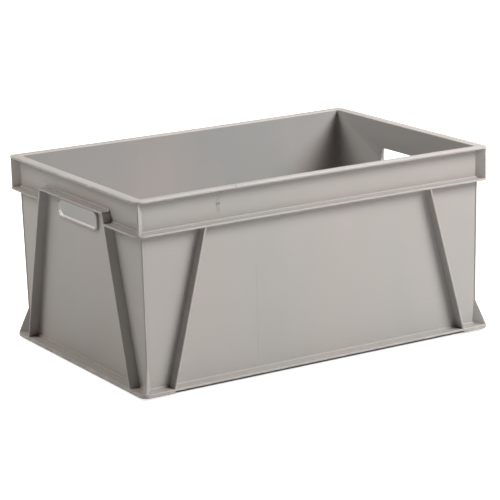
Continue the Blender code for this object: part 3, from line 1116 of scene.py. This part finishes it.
class CRATE_OT_stage(bpy.types.Operator):
    """Pale floor, three softboxes, a room that looks white and the camera"""

    bl_idname = "crate.stage"
    bl_label = "Stage"

    def make_floor(self, stage):
        """A wide pale floor under the crate."""
        floor = start_piece("studio_floor")
        bpy.ops.mesh.primitive_plane_add(size=FLOOR_SIDE, location=(0, 0, 0))
        end_piece(floor)
        material = bpy.data.materials.new("matte_floor_paper")
        material.use_nodes = True
        tree = material.node_tree
        shader = tree.nodes["Principled BSDF"]
        place_on = add_node(tree, "TexCoord", output="Object")

        # Paper fibre is about 0.1 mm; its faint mottling is drawn a few millimetres coarse
        fibre = add_node(tree, "TexNoise", {"Scale": 400, "Detail": 2}, {"Vector": place_on})
        darker = [c * 0.98 for c in stage.floor]
        tone = add_node(
            tree, "Mix",
            {"data_type": "RGBA", MIX_FIRST: (*stage.floor, 1), MIX_SECOND: (*darker, 1)},
            {MIX_SHARE: fibre},
            output=MIX_RESULT,
        )
        tree.links.new(tone, shader.inputs["Base Color"])
        shader.inputs["Roughness"].default_value = 0.9
        shader.inputs["Specular IOR Level"].default_value = 0.1

        # The paper glows to the camera only, so that it stays pale right into the distance, and
        # not at all under the crate, where it is in the dark
        glow = add_node(tree, "LightPath", output="Is Camera Ray")
        glow = add_node(tree, "Math", {"operation": "MULTIPLY", 1: stage.floor_glow}, {0: glow})
        x, y, _ = add_node(tree, "SeparateXYZ", links={"Vector": place_on}).node.outputs
        clear = None
        for across, wall in ((x, WALL_X), (y, WALL_Y)):
            away = add_node(tree, "Math", {"operation": "ABSOLUTE"}, {0: across})
            away = add_node(tree, "Math", {"operation": "GREATER_THAN", 1: wall + SHADE}, {0: away})
            if clear is not None:
                away = add_node(tree, "Math", {"operation": "MAXIMUM"}, {0: clear, 1: away})
            clear = away
        glow = add_node(tree, "Math", {"operation": "MULTIPLY"}, {0: glow, 1: clear})
        shader.inputs["Emission Color"].default_value = (*WHITE, 1)
        tree.links.new(glow, shader.inputs["Emission Strength"])
        floor.data.materials.append(material)

    def make_room(self, stage):
        """A room that is white to the camera and lights the crate only dimly."""
        world = bpy.data.worlds.new("bright_room")
        bpy.context.scene.world = world
        world.use_nodes = True
        tree = world.node_tree
        tree.nodes.clear()
        seen, felt = (
            add_node(tree, "Background", {"Color": (*colour, 1), "Strength": strength})
            for colour, strength in ((WHITE, ROOM_SEEN), (COOL_WHITE, stage.ambient))
        )
        camera_sees = add_node(tree, "LightPath", output="Is Camera Ray")
        blend = add_node(tree, "MixShader", links={0: camera_sees, 1: felt, 2: seen})
        add_node(tree, "OutputWorld", links={"Surface": blend})

    def make_camera(self, stage):
        """The camera looks down on the front left corner."""
        data = bpy.data.cameras.new("camera")
        camera = bpy.data.objects.new("camera", data)
        bpy.context.scene.collection.objects.link(camera)
        bpy.context.scene.camera = camera
        sin, cos = math.sin, math.cos
        yaw, pitch, roll = CAMERA_YAW, CAMERA_PITCH, CAMERA_ROLL
        ahead = Vector((sin(yaw) * cos(pitch), cos(yaw) * cos(pitch), -sin(pitch)))
        side = Vector((cos(yaw), -sin(yaw), 0))
        up = side.cross(ahead)
        right = cos(roll) * side + sin(roll) * up
        above = cos(roll) * up - sin(roll) * side
        turn = Matrix((right, above, -ahead)).transposed().to_4x4()
        camera.matrix_world = Matrix.Translation(CAMERA_PLACE) @ turn
        data.sensor_fit = "HORIZONTAL"
        data.sensor_width = 36
        data.lens = stage.lens
        data.clip_start, data.clip_end = 0.1, 60

    def execute(self, context):
        stage = context.scene.crate_stage
        self.make_floor(stage)
        self.make_room(stage)
        add_softbox("high_softbox", (1.5, -1.9, 2.0), stage.high_power, WHITE)
        add_softbox("back_softbox", (-1.8, 1.2, 1.9), stage.back_power, WARM_WHITE)
        add_softbox("top_softbox", (1.2, 0.8, 2.3), stage.top_power, WHITE)
        self.make_camera(stage)
        context.scene.view_settings.view_transform = "Standard"
        return {"FINISHED"}


class CRATE_PT_panel(bpy.types.Panel):
    """Buttons for the crate's pieces"""

    bl_idname = "CRATE_PT_panel"
    bl_label = "Stacking Crate"
    bl_space_type = "VIEW_3D"
    bl_region_type = "UI"
    bl_category = "Crate"

    def draw(self, context):
        for operator in OPERATORS:
            self.layout.operator(operator.bl_idname)


OPERATORS = [
    CRATE_OT_shell,
    CRATE_OT_rim_flange,
    CRATE_OT_grip_ledges,
    CRATE_OT_ribs,
    CRATE_OT_corner_webs,
    CRATE_OT_corner_fins,
    CRATE_OT_moulding_mark,
    CRATE_OT_stage,
]
GROUPS = {"crate_sizes": CrateSizes, "crate_finish": CrateFinish, "crate_stage": StageSettings}


def register():
    """Make the settings, operators and panel known to Blender."""
    for name, group in GROUPS.items():
        bpy.utils.register_class(group)
        setattr(bpy.types.Scene, name, PointerProperty(type=group))
    for operator in (*OPERATORS, CRATE_PT_panel):
        bpy.utils.register_class(operator)


def unregister():
    """Take them away again."""
    for operator in (CRATE_PT_panel, *reversed(OPERATORS)):
        bpy.utils.unregister_class(operator)
    for name, group in GROUPS.items():
        delattr(bpy.types.Scene, name)
        bpy.utils.unregister_class(group)


def main():
    """Build the crate and its stage."""
    register()
    bpy.ops.crate.shell()
    bpy.ops.crate.rim_flange()
    bpy.ops.crate.grip_ledges()
    bpy.ops.crate.ribs()
    bpy.ops.crate.corner_webs()
    bpy.ops.crate.corner_fins()
    bpy.ops.crate.moulding_mark()
    bpy.ops.crate.stage()


if __name__ == "__main__":
    main()
